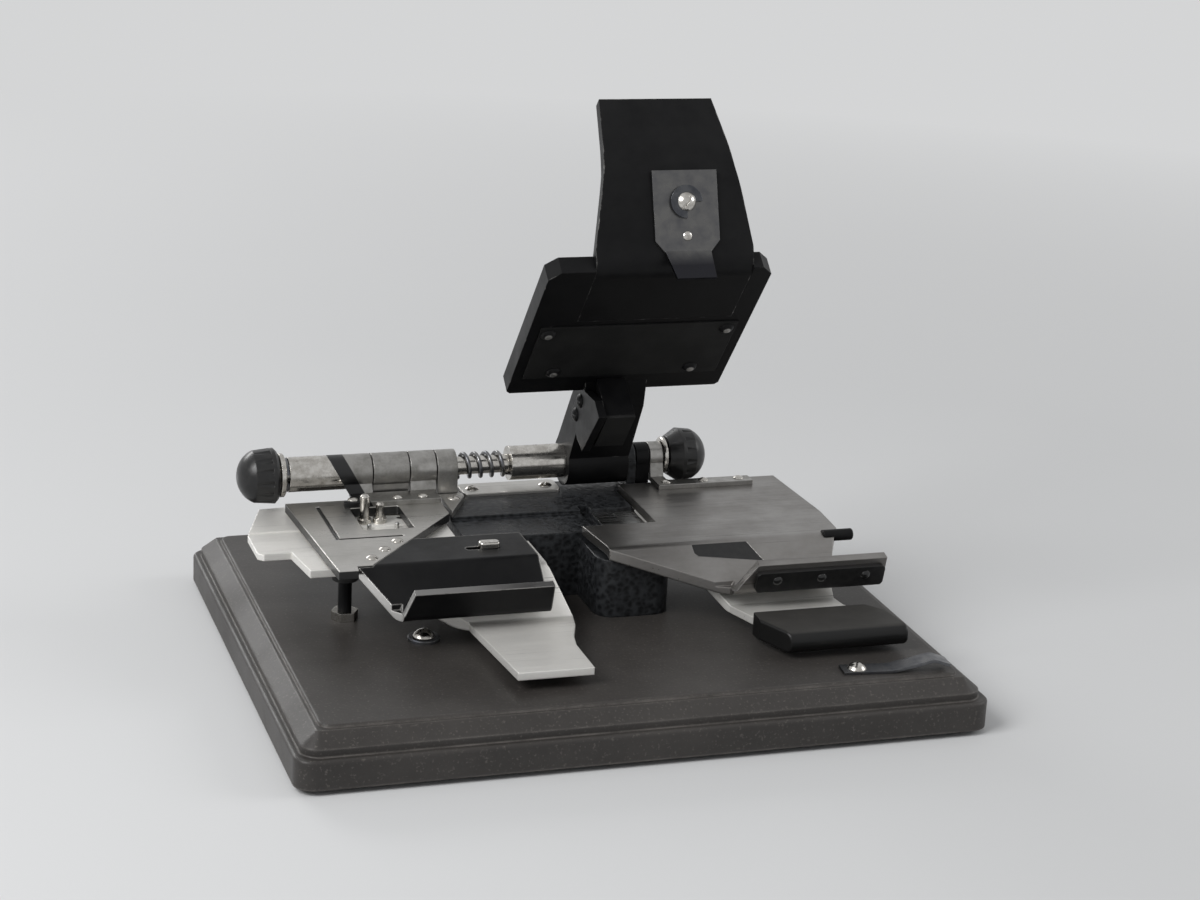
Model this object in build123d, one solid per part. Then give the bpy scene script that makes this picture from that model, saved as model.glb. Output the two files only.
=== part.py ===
from build123d import *
import math
import os

# Film splicer for 16 mm and 8 mm film: a moulded base carries a cast frame and one hinge shaft.
# Two pairs of steel plates, left and right, turn on the shaft and hold the film, and a sprung
# arm brings the cutter and the presser down on the centre bed.
# Millimetres. X to the right, Y to the back, Z up, zero on the bench under the base's middle.

# ---- driving dimensions -------------------------------------------------------------------
BASE_LENGTH = 180.0
BASE_WIDTH = 148.0
FOOT_PROUD = 1.5             # the rubber feet lift the base by this much
FLANGE_TOP = 9.0
DECK = 15.0                  # top of the base's raised panel
SHAFT_Y = 41.0
SHAFT_Z = 41.0
SHAFT_R = 2.0
BORE_R = 2.05                # running fit on the shaft
BARREL_R = 4.8               # left hinge barrels, their bearing and the arm's sleeve
SLIM_BARREL_R = 4.0          # right hinge barrels
SHEET = 2.0                  # lower plates
BED_TOP = 32.0               # upper face of both lower plates
CLAMP_GAP = 0.4              # space left for the film under the clamps
CLAMP_THICK = 2.4
FILM_Y = 13.3                # middle of the film's path
FILM_WIDTH = 16.1
CHANNEL_DEPTH = 0.3
TAB_TOP = 20.0               # lift tabs of the lower plates
FRONT_EDGE = -15.0           # where the plates bend down towards their tabs
FRAME_LEFT, FRAME_RIGHT = -28.2, 23.6
FRAME_FRONT, FRAME_BACK = 4.0, 36.0
FRAME_TOP = 33.0
WALL_BACK = 46.0             # rear wall of the frame, under the shaft
LEFT_BEARING = (-28.2, -22.6)         # along X
RIGHT_LUG = (26.8, 29.4)
ARM = (8.8, 26.4)            # the arm's hub along X
ARM_RAISED = 50.0            # degrees from closed to the stop, as stored
ARM_MIDDLE = sum(ARM) / 2
HEAD_HALF = 30.5             # half the width of the arm's wide plate
HEAD_BACK, HEAD_FRONT = 29.0, 84.0   # forward of the shaft
HEAD_LOW, HEAD_HIGH = 4.4, 9.4       # above the shaft, arm closed
HANDLE_MIDDLE = 21.0
HANDLE_THICK = 3.0
HANDLE_SLOPE = 59.0          # degrees up from the wide plate
WIRE_R = 0.55
COIL_R = 3.25
COIL_PITCH = 3.2
COIL_TURNS = 4
PIN_R = 0.6                  # film pins
KNOB_R = 7.6

CLAMP_LOW = BED_TOP + CLAMP_GAP
CLAMP_TOP = CLAMP_LOW + CLAMP_THICK
CHANNEL = (FILM_Y - FILM_WIDTH / 2, FILM_Y + FILM_WIDTH / 2)
SHAFT = Axis((0, SHAFT_Y, SHAFT_Z), (1, 0, 0))


# ---- shapes that repeat -------------------------------------------------------------------
def block(x, y, z):
    """A box between the two ends given for each axis."""
    size = [end - start for start, end in (x, y, z)]
    return Pos(*[(start + end) / 2 for start, end in (x, y, z)]) * Box(*size)


def rounded_block(x, y, z, radius):
    """A box with its upright edges rounded."""
    return fillet(block(x, y, z).edges().filter_by(Axis.Z), radius)


def upright(x, y, z, radius):
    """A round bar along Z."""
    return Pos(x, y, z[0]) * Cylinder(radius, z[1] - z[0], align=(Align.CENTER, Align.CENTER, Align.MIN))


def crosswise(x, radius, y=SHAFT_Y, z=SHAFT_Z):
    """A round bar along X, on the shaft's line unless told otherwise."""
    bar = Cylinder(radius, x[1] - x[0], align=(Align.CENTER, Align.CENTER, Align.MIN))
    return Pos(x[0], y, z) * Rot(0, 90, 0) * bar


def plan(points, z):
    """A flat outline seen from above, pulled up between two heights."""
    return Pos(0, 0, z[0]) * extrude(make_face(Polyline(*points, close=True)), z[1] - z[0])


def side(points, x):
    """An outline in Y and Z, pulled along X."""
    face = Plane.YZ.offset(x[0]) * make_face(Polyline(*points, close=True))
    return extrude(face, x[1] - x[0])


def front(points, y):
    """An outline in X and Z, pulled along Y."""
    face = Plane.XZ.offset(-y[0]) * make_face(Polyline(*points, close=True))
    return extrude(face, y[0] - y[1])


def beside(points, gap):
    """A bent line moved sideways by gap, to the left of its direction."""
    runs = [(Vector(*b) - Vector(*a)).normalized() for a, b in zip(points, points[1:])]
    normals = [Vector(-run.Y, run.X) for run in runs]
    moved = []
    for index, point in enumerate(points):
        before = normals[max(index - 1, 0)]
        after = normals[min(index, len(normals) - 1)]
        corner = (before + after) / (1 + before.dot(after))
        moved.append((point[0] + corner.X * gap, point[1] + corner.Y * gap))
    return moved


def bent_sheet(points, thick, bends, x):
    """Sheet metal bent along a line in Y and Z, as wide as x.

    The line is one face of the sheet, and bends are that face's radii. The other face lies to
    the left of the line's direction, or to the right if thick is negative.
    """
    other = beside(points, thick)
    other_bends = []
    for a, b, c, bend in zip(points, points[1:], points[2:], bends):
        turn = (b[0] - a[0]) * (c[1] - b[1]) - (b[1] - a[1]) * (c[0] - b[0])
        other_bends.append(bend - thick if turn > 0 else bend + thick)
    lines = [
        FilletPolyline(*points, radius=bends),
        FilletPolyline(*other, radius=other_bends),
        Line(points[0], other[0]),
        Line(points[-1], other[-1]),
    ]
    face = make_face([edge for line in lines for edge in line.edges()])
    return extrude(Plane.YZ.offset(x[0]) * face, x[1] - x[0])


def rivet(x, y, z, radius, head, rise):
    """A rivet: a shank from z[0] up to z[1] and a domed head above."""
    ball = (head * head + rise * rise) / (2 * rise)
    dome = Pos(x, y, z[1] + rise - ball) * Sphere(ball)
    dome &= block((x - head, x + head), (y - head, y + head), (z[1], z[1] + rise))
    return upright(x, y, z, radius) + dome


def slotted_screw(length, radius, head, rise, turn=0.0):
    """A round-head screw at the origin, head up, its seat at z = 0."""
    ball = (head * head + rise * rise) / (2 * rise)
    dome = Pos(0, 0, rise - ball) * Sphere(ball)
    dome &= block((-head, head), (-head, head), (0, rise))
    slot_width, slot_depth = head * 0.24, rise * 0.5
    dome -= Rot(0, 0, turn) * block(
        (-head, head), (-slot_width / 2, slot_width / 2), (rise - slot_depth, rise)
    )
    return dome + upright(0, 0, (-length, 0), radius)


def several(parts):
    """Like pieces that share a node, kept as separate solids."""
    return Compound([solid for part in parts for solid in part.solids()])


def fitted(part, *inserts):
    """A piece with room cut for what goes through it."""
    for insert in inserts:
        for solid in insert.solids():
            part -= solid
    return part


# ---- base ---------------------------------------------------------------------------------
FOOT_PLACES = [(x, y) for x in (-72, 72) for y in (-56, 56)]
FOOT_R = 7.0
FOOT_TALL = 3.0


def base_board():
    flange = rounded_block(
        (-BASE_LENGTH / 2, BASE_LENGTH / 2), (-BASE_WIDTH / 2, BASE_WIDTH / 2), (FOOT_PROUD, FLANGE_TOP), 5
    )
    flange = fillet(flange.faces().sort_by(Axis.Z)[-1].edges(), 0.9)
    step, tier_top, slope_out, slope_down = 2.0, 14.2, 4.0, 3.2
    tier = rounded_block(
        (-BASE_LENGTH / 2 + step, BASE_LENGTH / 2 - step),
        (-BASE_WIDTH / 2 + step, BASE_WIDTH / 2 - step),
        (FOOT_PROUD + 1, tier_top),
        4.6,
    )
    tier = chamfer(tier.faces().sort_by(Axis.Z)[-1].edges(), slope_down, slope_out)
    rim = step + slope_out + 1.0
    panel = rounded_block(
        (-BASE_LENGTH / 2 + rim, BASE_LENGTH / 2 - rim),
        (-BASE_WIDTH / 2 + rim, BASE_WIDTH / 2 - rim),
        (FOOT_PROUD + 1, DECK),
        3,
    )
    panel = fillet(panel.faces().sort_by(Axis.Z)[-1].edges(), 0.5)
    board = flange + tier + panel
    for x, y in FOOT_PLACES:
        board -= upright(x, y, (0, FOOT_TALL), FOOT_R)
    for x, y in FRAME_SCREWS:
        board -= upright(x, y, (0, FRAME_SCREW_SEAT), 3.7)
    return board


def rubber_feet():
    feet = []
    for x, y in FOOT_PLACES:
        foot = upright(x, y, (0, FOOT_TALL), FOOT_R)
        foot = chamfer(foot.edges().sort_by(Axis.Z)[0], 0.6)
        feet.append(foot - upright(x, y, (0, 2.2), 3.4))
    return feet


def foot_screws():
    screw = Rot(180, 0, 0) * slotted_screw(8.0, 1.5, 3.0, 1.4, 30)
    return [Pos(x, y, 2.2) * screw for x, y in FOOT_PLACES]


# ---- frame --------------------------------------------------------------------------------
BLADE_X = (8.8, 11.0)
BLADE_SLOT = (8.5, 11.3)
PEDESTAL_TOP = 31.0
FRAME_SCREWS = [(x, y) for x in (-25.6, 21.0) for y in (6.6, 43.4)]
FRAME_SCREW_SEAT = 4.6
REST_STUDS = [(-62.4, -1.0), (60.0, -3.0)]
DECK_SCREWS = [(-45.7, -19.0), (46.0, -8.0)]
SIDE_PLATE = [(-28.0, 21.0), (-21.4, 33.4), (-21.4, 35.6), (-28.0, 35.6)]
SIDE_SCREW = (-24.8, 32.0)
BACK_PLATE = ((-20.4, 7.6), (36.6, 45.4), (FRAME_TOP, FRAME_TOP + 1.0))
PLATE_SCREWS = [(-17.0, 41.0), (4.2, 41.0)]
ANVIL = ((11.6, FRAME_RIGHT), CHANNEL, (30.4, BED_TOP))


def centre_frame():
    bed = block((FRAME_LEFT, FRAME_RIGHT), (FRAME_FRONT, FRAME_BACK), (DECK, FRAME_TOP))
    wall = block((FRAME_LEFT, RIGHT_LUG[1]), (FRAME_BACK, WALL_BACK), (DECK, FRAME_TOP))
    pedestal = block((3, FRAME_RIGHT), (-14, FRAME_FRONT), (DECK, PEDESTAL_TOP))
    pedestal = fillet(pedestal.edges().filter_by(Axis.Z).group_by(Axis.Y)[0], 5)
    depth = (FRAME_BACK + 0.4, WALL_BACK)
    frame = bed + wall + pedestal + block(RIGHT_LUG, depth, (FRAME_TOP - 2, SHAFT_Z))
    frame += crosswise(RIGHT_LUG, SLIM_BARREL_R) & block(RIGHT_LUG, depth, (DECK, 60))
    hollow = block((FRAME_LEFT + 5, FRAME_RIGHT - 5), (FRAME_FRONT + 5, WALL_BACK - 5), (DECK, 26))
    frame -= hollow
    frame -= block((FRAME_LEFT - 1, FRAME_RIGHT + 1), CHANNEL, (BED_TOP, FRAME_TOP))
    frame -= block(BLADE_SLOT, (3.2, 25.0), (30.8, FRAME_TOP))
    return frame


def anvil_plate():
    return block(*ANVIL)


def anvil_screws():
    middle = (ANVIL[0][0] + ANVIL[0][1]) / 2
    flush = slotted_screw(5.0, 1.1, 1.9, 0.9, 20)
    return [Pos(middle, y, BED_TOP - 0.9) * flush for y in (CHANNEL[0] + 2.6, CHANNEL[1] - 2.6)]


def frame_screws():
    """Screws up through the base into the frame's corners, their heads sunk below."""
    screw = Rot(180, 0, 0) * slotted_screw(18.0, 1.6, 3.1, 1.6, 45)
    return [Pos(x, y, FRAME_SCREW_SEAT) * screw for x, y in FRAME_SCREWS]


def left_bearing():
    """The block that carries the shaft beside the spring, let into the frame's wall."""
    foot = block(LEFT_BEARING, (36.2, WALL_BACK - 0.4), (FRAME_TOP - 2, SHAFT_Z))
    return foot + crosswise(LEFT_BEARING, BARREL_R)


def side_plate():
    """A bright plate on the frame that carries on the left clamp's surface."""
    return plan(SIDE_PLATE, (FRAME_TOP, CLAMP_TOP))


def side_screw():
    return Pos(*SIDE_SCREW, CLAMP_TOP) * slotted_screw(6.0, 1.1, 1.9, 0.8, 70)


def deck_washers():
    washers = [upright(x, y, (DECK, DECK + 1.0), 4.2) for x, y in DECK_SCREWS]
    return [chamfer(washer.edges().group_by(Axis.Z)[-1], 0.3) for washer in washers]


def deck_screws():
    return [
        Pos(x, y, DECK + 1.0) * slotted_screw(9.0, 1.6, 2.9, 1.9, 25 + 40 * index)
        for index, (x, y) in enumerate(DECK_SCREWS)
    ]


def rest_studs():
    return [upright(x, y, (DECK - 6, 28.2), 1.8) for x, y in REST_STUDS]


def lock_nuts():
    nuts = []
    for x, y in REST_STUDS:
        hexagon = Pos(x, y, DECK) * extrude(RegularPolygon(3.6, 6), 2.4)
        hexagon &= Pos(x, y, DECK) * Cone(6.0, 2.6, 3.4, align=(Align.CENTER, Align.CENTER, Align.MIN))
        nuts.append(hexagon - upright(x, y, (DECK, 25), 1.8))
    return nuts


def rest_caps():
    caps = []
    for x, y in REST_STUDS:
        cap = upright(x, y, (26.0, BED_TOP - SHEET - 0.2), 3.4)
        cap = fillet(cap.edges().sort_by(Axis.Z)[-1], 0.8)
        caps.append(cap - upright(x, y, (26.0, 28.2), 1.8))
    return caps


def back_plate():
    return rounded_block(*BACK_PLATE, 1.5)


def plate_screws():
    return [
        Pos(x, y, BACK_PLATE[2][1]) * slotted_screw(6.0, 1.1, 2.0, 0.9, 15 + 50 * index)
        for index, (x, y) in enumerate(PLATE_SCREWS)
    ]


LATCH_SCREW = (57.0, -61.0)


def latch_spring():
    """A leaf of spring steel on the deck that the right-hand tab comes down beside."""
    line = [(-4.0, DECK), (9.0, DECK), (20.0, DECK + 2.6), (24.0, DECK + 1.2)]
    leaf = bent_sheet(line, 0.8, [12.0, 3.0], (-2.6, 2.6))
    return Pos(LATCH_SCREW[0], LATCH_SCREW[1], 0) * Rot(0, 0, -96) * leaf


def latch_screw():
    return Pos(*LATCH_SCREW, DECK + 0.8) * slotted_screw(7.0, 1.3, 2.5, 1.6, 60)


# ---- hinge shaft and what turns at its ends -----------------------------------------------
LEFT_WASHER = (-72.0, -70.4)
RIGHT_WASHER = (38.0, 39.2)
LEFT_KNOB = (-83.0, -72.4)
RIGHT_KNOB = (39.5, 51.0)
CLIP = (-70.3, -69.5)
LEFT_SLEEVE = (-69.3, -52.0)
SPACER = (-22.4, -7.3)
SLEEVE = (-7.0, ARM[0])


def hinge_shaft():
    shaft = crosswise((LEFT_KNOB[0] + 3.0, RIGHT_KNOB[1] - 2.4), SHAFT_R)
    return chamfer(shaft.edges().filter_by(GeomType.CIRCLE), 0.4)


def shaft_washers():
    washers = []
    for ends, radius in ((LEFT_WASHER, 6.0), (RIGHT_WASHER, 5.2)):
        washer = crosswise(ends, radius) - crosswise(ends, SHAFT_R)
        washers.append(chamfer(washer.edges().filter_by(GeomType.CIRCLE).group_by(SortBy.RADIUS)[-1], 0.3))
    return washers


def shaft_clip():
    """An open spring clip on the shaft, between the left washer and the left clamp's sleeve."""
    ring = crosswise(CLIP, 4.6) - crosswise(CLIP, SHAFT_R)
    return ring - block((-71, -69), (SHAFT_Y - 5, SHAFT_Y), (SHAFT_Z - 1.3, SHAFT_Z + 1.3))


def shaft_spacer():
    return crosswise(SPACER, 2.55) - crosswise(SPACER, SHAFT_R)


def knob(ends, outward, neck, bevel):
    """A fluted knob with a domed outer end, at the shaft's end that outward points to.

    The side towards the hinges slopes from the radius neck, over a length of bevel.
    """
    long = ends[1] - ends[0]
    dome, tip, flutes = 4.2, 1.5, 14
    waist = KNOB_R - 0.5
    rim = Polyline((long, 0), (0, 0), (0, neck), (bevel, KNOB_R), (long - dome, waist))
    crown = ThreePointArc((long - dome, waist), (long - 1.3, KNOB_R * 0.62), (long, tip))
    cap = Line((long, tip), (long, 0))
    solid_shape = revolve(make_face([*rim.edges(), *crown.edges(), *cap.edges()]), Axis.X)
    outline = Circle(KNOB_R) - PolarLocations(KNOB_R + 0.55, flutes) * Circle(1.1)
    fluted = extrude(Plane.YZ * outline, long) + crosswise((0, bevel + 1.0), KNOB_R, 0, 0)
    shape = solid_shape & fluted
    if outward < 0:
        return Pos(ends[1], SHAFT_Y, SHAFT_Z) * Rot(0, 0, 180) * shape
    return Pos(ends[0], SHAFT_Y, SHAFT_Z) * shape


def knob_bush(ends):
    return crosswise(ends, 3.4) - crosswise(ends, BORE_R)


# ---- torsion spring -----------------------------------------------------------------------
def biarc(start, heading, end, arriving):
    """Two arcs that leave start along heading and reach end along arriving."""
    chord = end - start
    both = heading + arriving
    spread = 2 * (1 - heading.dot(arriving))
    dot = chord.dot(both)
    reach = (-dot + math.sqrt(dot * dot + spread * chord.dot(chord))) / spread
    first, second = start + heading * reach, end - arriving * reach
    middle = (first + second) / 2
    turn = (second - first).normalized()
    return [TangentArc(start, middle, tangent=heading), TangentArc(middle, end, tangent=turn)]


def arm_spring():
    """A torsion spring with both ends along the shaft: in the bearing and in the arm's sleeve."""
    lead = COIL_PITCH / (2 * math.pi)
    across = math.hypot(COIL_R, lead)
    coil_start = (SPACER[0] + SPACER[1] - COIL_PITCH * COIL_TURNS) / 2

    def on_coil(turns):
        angle = math.radians(-90) + turns * 2 * math.pi
        spot = Vector(
            coil_start + turns * COIL_PITCH,
            SHAFT_Y + COIL_R * math.cos(angle),
            SHAFT_Z + COIL_R * math.sin(angle),
        )
        way = Vector(lead, -COIL_R * math.sin(angle), COIL_R * math.cos(angle)) / across
        return spot, way

    along = Vector(1, 0, 0)
    reach = 1.2                      # the wire turns from the shaft's direction over this length
    first, first_way = on_coil(0.0)
    last, last_way = on_coil(COIL_TURNS)
    leg_in = Vector(first.X - reach, first.Y - reach, first.Z)
    leg_out = Vector(last.X + reach, last.Y + reach, last.Z)
    edges = [Line((LEFT_BEARING[1] - 1.8, leg_in.Y, leg_in.Z), leg_in)]
    edges += biarc(leg_in, along, first, first_way)
    for quarter in range(COIL_TURNS * 4):
        here, way = on_coil(quarter / 4)
        there, arriving = on_coil((quarter + 1) / 4)
        edges += biarc(here, way, there, arriving)
    edges += biarc(last, last_way, leg_out, along)
    edges.append(Line(leg_out, (SLEEVE[0] + 1.8, leg_out.Y, leg_out.Z)))
    path = Wire([edge for part in edges for edge in part.edges()])
    print("spring: wire", 2 * WIRE_R, "mm, least gap to itself", round(own_gap(path), 2), "mm")
    section = Plane(edges[0] @ 0, z_dir=along) * Circle(WIRE_R)
    return sweep(section, path=path)


def own_gap(path, samples=400, skip=6.0):
    """The least free space between two stretches of the wire, measured on points."""
    spots = [path @ (index / samples) for index in range(samples + 1)]
    pace = path.length / samples
    apart = int(skip / pace) + 1
    least = min(
        (spots[a] - spots[b]).length for a in range(samples + 1) for b in range(a + apart, samples + 1)
    )
    return least - 2 * WIRE_R


# ---- lower plates -------------------------------------------------------------------------
LEFT_BED_X = (-84.0, -5.0)
LEFT_KNUCKLE = (-46.2, -36.2)
RIGHT_KNUCKLE = (29.8, 33.6)
LEFT_PINS_X = (-51.3, -43.7)
RIGHT_PINS_X = (33.0, 40.6)
PIN_ROW_Y = (CHANNEL[0] + 1.8, CHANNEL[1] - 1.8)
GUIDE_POSTS = [(-51.6, 24.2, 40.0, 1.3), (-47.4, 24.2, 37.6, 1.15)]   # x, y, top, radius


def knuckle(x, radius, web_low, foot_y, foot_z):
    """A hinge barrel on the shaft, its web and the foot that is riveted to a plate."""
    web = block(x, (37.2, 41.0), (web_low, SHAFT_Z))
    foot = block(x, foot_y, foot_z)
    return crosswise(x, radius) + web + foot - crosswise((x[0] - 1, x[1] + 1), BORE_R)


def left_bed_plate():
    tab_back, tab_front = -23.0, -57.0
    line = [(42.0, BED_TOP), (FRONT_EDGE, BED_TOP), (tab_back, TAB_TOP), (tab_front, TAB_TOP)]
    sheet = bent_sheet(line, SHEET, [SHEET + 1.0, 1.0], LEFT_BED_X)
    outline = [
        (-77.2, 39.6), (-66, 40.4), (-66, 36), (-30, 36), (-30, 2.5), (-12, 2.5),
        (-12, FRONT_EDGE), (-7, tab_back), (-8.2, -29), (-10.8, -36), (-12, -42), (-12, -57),
        (-31.6, -57), (-34.8, tab_back), (-56, FRONT_EDGE), (-62.6, -9.4), (-73.4, -9.4),
        (-75.4, 5), (-82.5, 5), (-84, 6.5), (-84, 20),
    ]
    sheet &= plan(outline, (10, 40))
    sheet -= block((-90, -25), CHANNEL, (BED_TOP - CHANNEL_DEPTH, BED_TOP + 1))
    return sheet


def right_bed_plate():
    bend, tab_back, tab_front = -11.5, -26.0, -49.0
    line = [(35.6, BED_TOP), (bend, BED_TOP), (tab_back, TAB_TOP + 1), (tab_front, TAB_TOP + 1)]
    sheet = bent_sheet(line, SHEET, [SHEET + 1.0, 1.0], (20, 80))
    outline = [
        (24.4, 37), (72, 37), (72, 0), (70, -10), (66, -17), (65, tab_back), (65.6, -31),
        (68.4, -36), (72, -41), (73.4, -47), (73.4, tab_front), (43, tab_front),
        (35.4, tab_back), (28, FRONT_EDGE), (24.4, FRONT_EDGE),
    ]
    sheet &= plan(outline, (10, 40))
    sheet -= block((20, 80), CHANNEL, (BED_TOP - CHANNEL_DEPTH, BED_TOP + 1))
    return sheet


def bed_knuckle(x, radius):
    low = BED_TOP - 2 * SHEET
    return knuckle(x, radius, low, (24.0, 41.0), (low, BED_TOP - SHEET))


def bed_rivets(x):
    """Rivets whose heads are below, so that nothing stands in the film's way."""
    places = [((x[0] + x[1]) / 2, y) for y in (26.4, 33.0)]
    under = BED_TOP - 2 * SHEET
    return [
        Pos(px, py, 0) * mirror(rivet(0, 0, (-BED_TOP, -under), 0.9, 1.7, 0.8), Plane.XY)
        for px, py in places
    ]


def film_pins(places_x):
    pins = []
    for x in places_x:
        for y in PIN_ROW_Y:
            pin = upright(x, y, (BED_TOP - SHEET, BED_TOP + 1.3), PIN_R)
            pins.append(fillet(pin.edges().sort_by(Axis.Z)[-1], 0.4))
    return pins


def guide_posts():
    posts = []
    for x, y, top, radius in GUIDE_POSTS:
        post = upright(x, y, (BED_TOP - SHEET, top), radius)
        post = chamfer(post.edges().sort_by(Axis.Z)[-1], 0.5)
        posts.append(post + upright(x, y, (BED_TOP, BED_TOP + 1.2), 1.9))
    return posts


GRIP_X = (38.2, 75.6)


def right_tab_grip():
    """A moulded black grip pushed over the front of the right-hand tab."""
    low, high, back, end = 16.6, 22.4, -35.2, -51.8
    grip = block(GRIP_X, (end, back), (low, high))
    grip = fillet(grip.edges().filter_by(Axis.X).group_by(Axis.Y)[0], 2.6)
    corner = [(69.8, back), (74.2, -41.0)]
    grip &= plan([(36.0, back), *corner, (GRIP_X[1], end), (42.6, end)], (0, 50))
    return fillet(grip.edges().filter_by(Axis.Z), 0.8)


# ---- clamp plates -------------------------------------------------------------------------
LEFT_LEAF = (-56.0, -29.2)
LEFT_BARRELS = [(-58.7, -46.6), (-35.8, -28.6)]
RIGHT_BARREL = (33.9, 37.7)
LEAF_FRONT = 28.7
LAP = 5.0                    # the lifter's strip under the left clamp's slanting edge
SLANT_BACK = (-29.2, 20.0)
SLANT_FRONT = (-58.6, -15.2)


def left_clamp_plate():
    front_edge = -18.4
    outline = [
        (-71, 35), SLANT_BACK[:1] + (35,), SLANT_BACK, SLANT_FRONT, (-62.6, -15.2),
        (-62.9, front_edge), (-68, front_edge),
    ]
    plate = plan(outline, (CLAMP_LOW, CLAMP_TOP))
    plate -= rounded_block((-54.9, -41.2), (10.4, 28.4), (CLAMP_LOW - 1, CLAMP_TOP + 1), 0.8)
    groove = (CLAMP_TOP - 0.6, CLAMP_TOP + 1)
    plate -= block((-63.6, -62.5), (4.6, 31.0), groove)
    plate -= block((-63.6, -45.6), (4.6, 5.7), groove)
    return without_pin_room(plate, LEFT_PINS_X)


def without_pin_room(plate, places_x):
    """Blind holes under a clamp plate, over the film pins."""
    for x in places_x:
        for y in PIN_ROW_Y:
            plate -= upright(x, y, (CLAMP_LOW - 1, CLAMP_LOW + 1.6), 1.1)
    return plate


def slant_strip(inset):
    """Points along the clamp's slanting edge, moved inwards by inset."""
    run = Vector(SLANT_BACK) - Vector(SLANT_FRONT)
    inwards = Vector(-run.Y, run.X).normalized() * inset
    return [(p[0] + inwards.X, p[1] + inwards.Y) for p in (SLANT_FRONT, SLANT_BACK)]


LIFTER_TOP = CLAMP_TOP - 0.2
SELECTOR_SLOT = ((-32.0, -23.6), (-8.4, -6.0))


def left_lifter():
    """The black strip that lifts the left clamp: flat, then down, then up to its lip."""
    thick = LIFTER_TOP - CLAMP_LOW
    line = [(2.4, LIFTER_TOP), (FRONT_EDGE, LIFTER_TOP), (-26.6, 25.2), (-28.6, 32.4)]
    sheet = bent_sheet(line, thick, [thick + 0.6, 0.6], (-70, -14.6))
    outline = [
        (-14.6, 5), (SLANT_BACK[0] - 14.8, 5), (-58.6, -15.2), (-62.4, -15.2),
        (-53.6, -27.0), (-53.6, -40), (-14.6, -40),
    ]
    sheet &= plan(outline, (10, 40))
    sheet -= front([(-60, 25.6), (-53.4, 25.6), (-48.4, 40), (-60, 40)], (-34, -24.2))
    foot, edge = slant_strip(0), slant_strip(LAP)
    sheet -= plan([foot[0], foot[1], edge[1], edge[0]], (CLAMP_LOW - 1, CLAMP_TOP + 1))
    lap = plan([foot[0], foot[1], edge[1], edge[0]], (CLAMP_LOW, CLAMP_LOW + thick / 2))
    lap &= block((-80, -14.6), (FRONT_EDGE, 2.4), (0, 50))
    sheet += lap
    sheet -= rounded_block(SELECTOR_SLOT[0], SELECTOR_SLOT[1], (30, 36), 1.1)
    recess = ((SELECTOR_SLOT[0][0] - 1.4, SELECTOR_SLOT[0][1] + 1.4), (-9.8, -4.6))
    return sheet - block(*recess, (30, CLAMP_LOW + 0.9))


def left_lap():
    """What the lifter's strip takes out of the clamp plate."""
    foot, edge = slant_strip(0), slant_strip(LAP)
    lap = plan([foot[0], foot[1], edge[1], edge[0]], (CLAMP_LOW, CLAMP_LOW + (LIFTER_TOP - CLAMP_LOW) / 2))
    return lap & block((-80, -14.6), (FRONT_EDGE, 2.4), (0, 50))


def left_lifter_rivets():
    start, run = Vector(slant_strip(LAP / 2)[0]), Vector(SLANT_BACK) - Vector(SLANT_FRONT)
    spots = [start + run * share for share in (0.1, 0.26, 0.42)]
    return [rivet(spot.X, spot.Y, (CLAMP_LOW, CLAMP_TOP), 0.9, 1.6, 0.7) for spot in spots]


def pin_selector():
    """The small bright nib that slides in the lifter's slot."""
    x, y = SELECTOR_SLOT[0][1] - 1.3, sum(SELECTOR_SLOT[1]) / 2
    shank = upright(x, y, (CLAMP_LOW + 0.1, LIFTER_TOP + 0.2), 0.95)
    foot = block((x - 1.5, x + 1.5), (y - 2.0, y + 2.0), (CLAMP_LOW + 0.1, CLAMP_LOW + 0.7))
    high = (LIFTER_TOP + 0.15, LIFTER_TOP + 1.7)
    nib = rounded_block((x - 3.6, x + 2.0), (y - 1.5, y + 1.5), high, 1.2)
    nib = fillet(nib.edges().group_by(Axis.Z)[-1], 0.5)
    return shank + foot + nib


def clamp_leaf(x, barrels, radius):
    """A hinge leaf: a strip on top of the clamp plate, with one barrel or more."""
    strip = block(x, (LEAF_FRONT, 36.2), (CLAMP_TOP, CLAMP_TOP + 1.4))
    for barrel in barrels:
        strip += crosswise(barrel, radius)
        strip += side([(36.2, CLAMP_TOP), (36.2, CLAMP_TOP + 1.4), (37.4, SHAFT_Z), (41.0, SHAFT_Z),
                       (40.4, 37.4), (38.0, CLAMP_TOP)], barrel)
        strip -= crosswise((barrel[0] - 1, barrel[1] + 1), BORE_R)
    past = barrels[-1][1]
    if x[1] > past:
        strip -= block((past, x[1] + 1), (33.0, 40.0), (CLAMP_TOP - 1, CLAMP_TOP + 3))
    return strip


def beyond_slanting_end():
    """The room outside the left leaf's outer end, which is cut aslant down to the plate."""
    top, low = (-58.6, SHAFT_Z + BARREL_R + 0.2), (-52.6, CLAMP_TOP + 0.4)
    under, outside = CLAMP_TOP - 1, -72
    return front([top, low, (low[0], under), (outside, under), (outside, 50), (top[0], 50)], (30, 50))


def left_clamp_sleeve():
    """The polished sleeve against the left leaf's slanting end. It turns with the clamp."""
    sleeve = crosswise(LEFT_SLEEVE, BARREL_R) - crosswise((LEFT_SLEEVE[0] - 1, -50), BORE_R)
    return sleeve & beyond_slanting_end()


def leaf_rivets(places):
    return [rivet(x, LEAF_FRONT + 2.6, (CLAMP_LOW, CLAMP_TOP + 1.4), 0.9, 1.5, 0.7) for x in places]


NOTCH_Y = 3.4
SLOT = ((28.0, 46.4), (-17.8, -14.4))


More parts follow.
